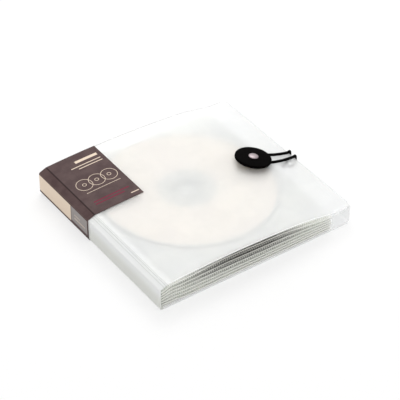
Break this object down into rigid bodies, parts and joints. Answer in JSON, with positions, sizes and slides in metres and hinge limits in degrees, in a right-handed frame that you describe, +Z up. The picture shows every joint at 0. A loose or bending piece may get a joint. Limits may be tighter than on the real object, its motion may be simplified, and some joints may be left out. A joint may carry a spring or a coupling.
{
  "type": "cd storage case",
  "caption": "Pocket album for optical discs: frosted plastic cover with film pocket leaves, a button and elastic loop closure and a printed card band on the spine.",
  "frame": {"origin": "middle of the album's underside, on the surface it lies on", "axes": "+X from the spine to the fore edge, +Y from the tail edge to the head edge, +Z up through the front cover"},
  "size_m": [0.1528, 0.142, 0.0236],
  "materials": {
    "frosted_sheet": "frosted translucent polypropylene",
    "pocket_film": "clear to milky welded film",
    "disc_face": "cream printed label with a clear hub",
    "black_button": "black, slightly satin",
    "black_elastic": "braided round elastic",
    "rivet_metal": "satin domed head",
    "printed_card": "matt printed card, dark brown with cream, grey and dark red fields"
  },
  "bodies": {
    "back": {"back_cover": "frosted_sheet", "binding_strip": "frosted_sheet", "leaf_1": "pocket_film", "leaf_2": "pocket_film", "leaf_3": "pocket_film", "leaf_4": "pocket_film", "leaf_5": "pocket_film", "leaf_6": "pocket_film", "disc": "disc_face", "band_back": "printed_card", "elastic_loop": "black_elastic", "elastic_knot": "black_elastic"},
    "spine": {"spine": "frosted_sheet", "band_spine": "printed_card"},
    "front_cover": {"front_cover": "frosted_sheet", "band_front": "printed_card", "button": "black_button", "rivet": "rivet_metal", "rivet_washer": "frosted_sheet"}
  },
  "joints": [
    {"name": "spine_hinge", "type": "hinge", "parent": "back", "child": "spine", "pos_m": [-0.0764, 0, 0.00285], "axis": [0, -1, 0], "range_deg": [0, 89]},
    {"name": "front_cover_hinge", "type": "hinge", "parent": "spine", "child": "front_cover", "pos_m": [-0.0764, 0, 0.0174], "axis": [0, -1, 0], "range_deg": [0, 89], "deforming": ["elastic_loop"]}
  ],
  "couplings": [
    {"joint": "spine_hinge", "follows": "front_cover_hinge", "ratio": 1}
  ]
}
